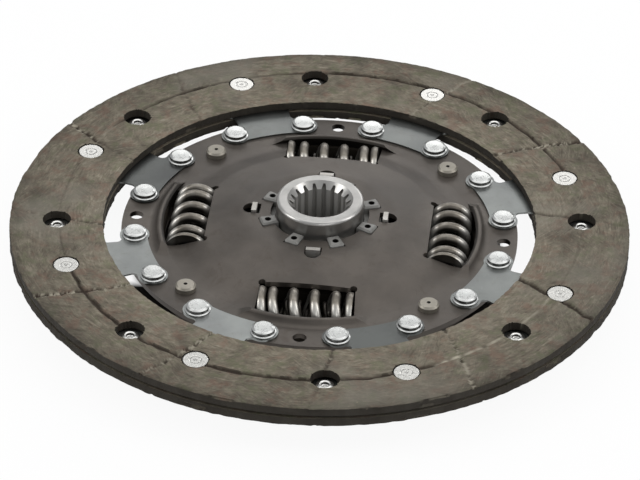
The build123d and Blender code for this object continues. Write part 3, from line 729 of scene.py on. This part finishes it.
    def hole_wall(self, edges, centre, hole_r, is_seat):
        """A hole's straight wall; a rivet's seat has a floor with the shank's hole in it."""
        through_r = SHANK_HOLE_R if is_seat else hole_r
        steps = [(hole_r, -SEAT_DEPTH), (through_r, -SEAT_DEPTH)] if is_seat else []
        for radius, level in steps + [(through_r, -LINING_T)]:

            def moved(point):
                away = Vector((point[0] - centre[0], point[1] - centre[1])).normalized() * radius
                return (centre[0] + away.x, centre[1] + away.y, level)

            edges = self.add_row(edges, moved)
        return edges

    def close_back(self, feet):
        """The flat back between the walls' feet."""
        corners = sorted({c for edge in feet for c in edge})
        index = {corner: k for k, corner in enumerate(corners)}
        flat = [Vector(self.vertices[c][:2]) for c in corners]
        lines = [(index[a], index[b]) for a, b in feet]
        made, _, triangles, origins, _, _ = geometry.delaunay_2d_cdt(flat, lines, [], 0, 1e-5)
        known = {k: corners[sources[0]] for k, sources in enumerate(origins) if sources}
        slack = 0.02
        for triangle in triangles:
            middle = sum((made[c] for c in triangle), Vector((0, 0))) / 3
            over_hole = any(
                math.hypot(middle.x - c[0], middle.y - c[1]) < (SHANK_HOLE_R if is_seat else r) - slack
                for c, r, is_seat in self.holes
            )
            on_back = BORE_R + BACK_INSET < middle.length < DISC_R - BACK_INSET
            if on_back and not over_hole and all(c in known for c in triangle):
                self.faces.append(tuple(known[c] for c in reversed(triangle)))


def lining_piece(name, node, seat_angle, access_angle, seed, flipped):
    """A worn lining in the plain one's place, turned over for the lower one."""
    worn = WornLining(seat_angle, access_angle, seed)
    mesh = bpy.data.meshes.new(name)
    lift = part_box(node)[0].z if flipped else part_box(node)[1].z
    turn = Matrix.Rotation(math.pi, 3, "X") if flipped else Matrix.Identity(3)
    mesh.from_pydata([turn @ Vector(v) * MM + Vector((0, 0, lift)) for v in worn.vertices], [], worn.faces)
    for label, values in (("groove", worn.grooves), ("dust", worn.dusts)):
        layer = mesh.attributes.new(label, "FLOAT", "POINT")
        layer.data.foreach_set("value", values)
    mesh.validate()
    mesh.materials.append(materials["lining"])
    mesh.polygons.foreach_set("use_smooth", [True] * len(mesh.polygons))
    mesh.set_sharp_from_angle(angle=math.radians(SHARP_ANGLE))
    used = new_object(name, mesh)
    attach(used, "disc")
    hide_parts(node)


# Springs and the flange that they stand in

def copy_of(node_name, name):
    """An object of the scene's own with a node's mesh and place."""
    piece = nodes[node_name]
    copy = new_object(name, piece.data.copy())
    copy.matrix_world = piece.matrix_world.copy()
    return copy


def soft_spring(node_name, number):
    """A copy of a spring, with a mesh of its own, in the spring's place."""
    copy = copy_of(node_name, f"moving_{node_name}")
    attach(copy, "disc")
    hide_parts(node_name)
    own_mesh(copy)


def window_cutter():
    """Boxes that widen the flange's windows along the radius."""
    half_w, half_l = FLANGE_WINDOW_HALF
    outline = [(-half_w, -half_l), (half_w, -half_l), (half_w, half_l), (-half_w, half_l)]
    corners, faces = [], []
    for number in range(WINDOW_COUNT):
        turn = Matrix.Rotation(math.radians(WINDOW_ANGLE + 360 * number / WINDOW_COUNT), 3, "Z")
        first = len(corners)
        for height in FLANGE_HEIGHTS:
            corners += [turn @ Vector((SPRING_CIRCLE_R + x, y, height)) * MM for x, y in outline]
        a, b, c, d, e, f, g, h = range(first, first + 8)
        faces += [(d, c, b, a), (e, f, g, h), (a, b, f, e), (b, c, g, f), (c, d, h, g), (d, a, e, h)]
    mesh = bpy.data.meshes.new("flange_cutter")
    mesh.from_pydata(corners, [], faces)
    return new_object("flange_cutter", mesh)


def open_flange():
    """The hub flange with windows wider along the radius, so that the springs clear it as it turns."""
    copy = copy_of("hub_flange", "clear_hub_flange")
    cutter = window_cutter()
    cut = copy.modifiers.new("windows", "BOOLEAN")
    cut.operation = "DIFFERENCE"
    cut.object = cutter
    seen = copy.evaluated_get(bpy.context.evaluated_depsgraph_get())
    copy.data = bpy.data.meshes.new_from_object(seen)
    copy.modifiers.clear()
    bpy.data.objects.remove(cutter)
    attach(copy, "hub_unit")
    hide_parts("hub_flange")


# Floor, lights and camera

def floor_material():
    """White to the camera and in reflections, with a soft shadow and a painted shadow under the damper that
    reaches further out at its front.
    """
    g = Graph("floor_white")
    path = g.node("LightPath")
    seen = g.math("MAXIMUM", path.outputs["Is Camera Ray"], path.outputs["Is Glossy Ray"])
    _, y, _ = g.place()
    radius = g.math("DIVIDE", g.polar()[0], 100.0)
    # Painted shadow: under the damper, and out towards its front edge, the floor is dark and does not glow
    front = g.times(g.ramp(g.math("DIVIDE", y, -100.0), (0.15, 0.0), (0.19, 1.0)),
                    g.ramp(radius, (0.70, 1.0), (0.78, 0.0)))
    under = g.math("MAXIMUM", front, g.ramp(radius, (0.66, 1.0), (0.70, 0.0)))
    g.finish(base_color=g.mix(under, FLOOR_GREY, FLOOR_SHADE), roughness=0.9)
    glow = g.node("Emission")
    glow.inputs["Color"].default_value = (*WHITE, 1.0)
    glow.inputs["Strength"].default_value = 1.0
    lit = g.times(g.minus(1.0, under), 0.93)
    mixed = g.feed_all(g.node("MixShader"), (g.times(seen, lit), g.shader.outputs[0], glow.outputs[0]))
    g.feed(g.tree.nodes["Material Output"].inputs["Surface"], mixed.outputs[0])
    return g.material


def make_floor():
    mesh = bpy.data.meshes.new("floor")
    corners = [(x * FLOOR_HALF, y * FLOOR_HALF, 0) for x, y in ((-1, -1), (1, -1), (1, 1), (-1, 1))]
    mesh.from_pydata(corners, [], [(0, 1, 2, 3)])
    mesh.materials.append(floor_material())
    floor = new_object("floor", mesh)


def make_world():
    """Plain soft light from all round; the camera sees white."""
    world = bpy.data.worlds.new("studio")
    world.use_nodes = True
    bpy.context.scene.world = world
    tree = world.node_tree
    path = tree.nodes.new("ShaderNodeLightPath")
    mix = tree.nodes.new("ShaderNodeMix")
    mix.data_type = "RGBA"
    mix.inputs[6].default_value = (*WORLD_LIGHT, 1.0)
    mix.inputs[7].default_value = (*WHITE, 1.0)
    tree.links.new(path.outputs["Is Camera Ray"], mix.inputs[0])
    tree.links.new(mix.outputs[2], tree.nodes["Background"].inputs["Color"])


def make_lights():
    for name, place, size, power in LAMPS:
        data = bpy.data.lights.new(name, "AREA")
        data.shape = "RECTANGLE"
        data.size, data.size_y = size
        data.energy = power
        light = new_object(name, data)
        light.location = place
        light.rotation_euler = (Vector(LAMP_TARGET) - Vector(place)).to_track_quat("-Z", "Y").to_euler()


def make_camera():
    data = bpy.data.cameras.new("camera")
    data.lens = CAMERA_LENS
    data.sensor_width = SENSOR_WIDTH
    data.shift_x = -AIM_OFFSET_PX[0] / PHOTO_WIDTH
    data.shift_y = AIM_OFFSET_PX[1] / PHOTO_WIDTH
    camera = new_object("camera", data)
    rise = math.radians(CAMERA_ELEVATION)
    height = AIM_HEIGHT + CAMERA_DISTANCE * math.sin(rise)
    place = Matrix.Translation((0, -CAMERA_DISTANCE * math.cos(rise), height))
    tilt = Matrix.Rotation(math.radians(90) - rise, 4, "X")
    roll = Matrix.Rotation(math.radians(CAMERA_ROLL), 4, "Z")
    camera.matrix_world = place @ tilt @ roll
    bpy.context.scene.camera = camera


# Putting it together

materials = {
    "lining": lining_material(),
    "spring_steel": segment_material(0, WASHER_SHADE),
    "dark_plate": plate_material(),
    "pin_steel": pin_material(),
    "coil_steel": coil_material("coil_wire", (0.205, 0.182, 0.152), (0.295, 0.266, 0.226),
                                (0.41, 0.38, 0.335)),
    "machined_steel": hub_material(),
    "bright_steel": tab_material(),
    "bush_polymer": bush_material(),
    "rivet_steel": rivet_material("segment_rivet_steel", SEGMENT_RIVET_CIRCLE_R, len(SEGMENT_PAINTED_REFLECTIONS),
                                  SEGMENT_RIVET_ANGLES, DOME_RINGS, (0.58, 0.585, 0.57)),
}
special = {
    "lining_rivets_top": rivet_material("lining_rivet_heads", RIVET_CIRCLE_R, RIVET_COUNT, (TOP_SEAT_ANGLE,),
                                        HEAD_RINGS, (0.60, 0.59, 0.56)),
    "lining_rivets_bottom": rivet_material("lining_rivet_tips", RIVET_CIRCLE_R, RIVET_COUNT,
                                           (TOP_ACCESS_ANGLE,), TIP_RINGS, (0.72, 0.71, 0.68)),
    # The flange is painted near black as shade
    "hub_flange": flange_material(),
}
# The inner springs' wire is the coil material painted far darker, as the shade inside the outer springs
painted_shade_inner_wire = coil_material("painted_shade_inner_wire", (0.035, 0.030, 0.025), (0.055, 0.048, 0.040), (0.10, 0.09, 0.075))
for number in range(1, WINDOW_COUNT + 1):
    special[f"inner_spring_{number}"] = painted_shade_inner_wire
# Each cushion segment gets its own painted reflection share
for number, shade in enumerate(SEGMENT_PAINTED_REFLECTIONS, 1):
    special[f"cushion_segment_{number}"] = segment_material(number, shade)
for node_name, piece in nodes.items():
    piece.data.materials.clear()
    piece.data.materials.append(special.get(node_name, materials[slots[node_name]]))

for number in range(1, WINDOW_COUNT + 1):
    soft_spring(f"torsion_spring_{number}", number)
    soft_spring(f"inner_spring_{number}", number)
open_flange()
lining_piece("worn_lining_top", "lining_top", TOP_SEAT_ANGLE, TOP_ACCESS_ANGLE, 1.0, False)
lining_piece("worn_lining_bottom", "lining_bottom", -TOP_ACCESS_ANGLE, -TOP_SEAT_ANGLE, 57.0, True)

make_floor()
make_world()
make_lights()
make_camera()
bpy.context.scene.view_settings.view_transform = "Standard"
